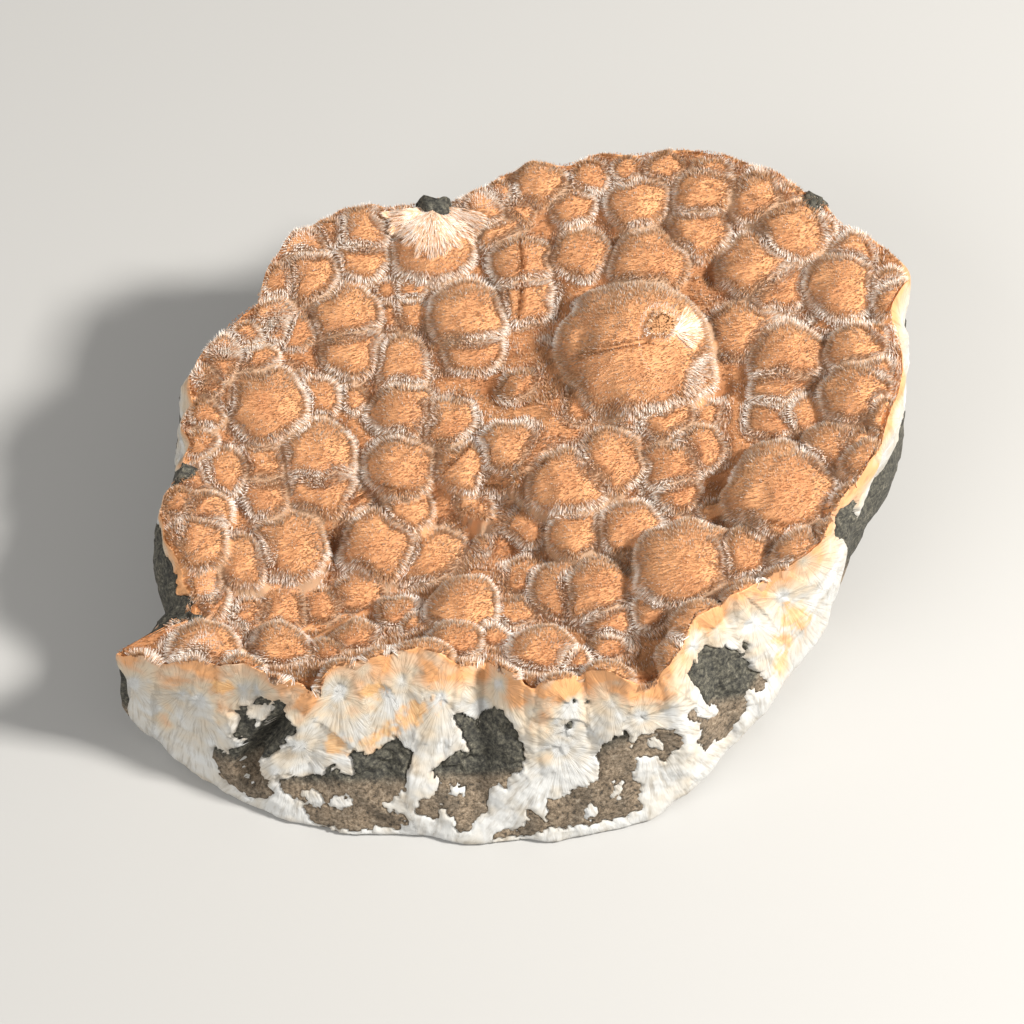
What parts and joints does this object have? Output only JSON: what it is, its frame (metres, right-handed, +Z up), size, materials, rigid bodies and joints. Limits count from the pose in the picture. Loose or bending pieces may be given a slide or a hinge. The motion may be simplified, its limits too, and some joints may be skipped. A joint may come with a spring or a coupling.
{
  "type": "thomsonite specimen",
  "caption": "Loose hand specimen of velvety botryoidal thomsonite: a shallow bowl of orange balls on dark basalt, with a sloping broken front face and a flat underside.",
  "frame": {"origin": "middle of the specimen's box in plan, on the flat underside", "axes": "+X to the specimen's right, +Y to its back, +Z up; the broken front face looks towards -Y"},
  "size_m": [0.1272, 0.1122, 0.0389],
  "materials": {
    "thomsonite": "matte",
    "basalt": "matte"
  },
  "bodies": {
    "root": {"thomsonite_crust": "thomsonite", "basalt_matrix": "basalt"}
  },
  "joints": []
}
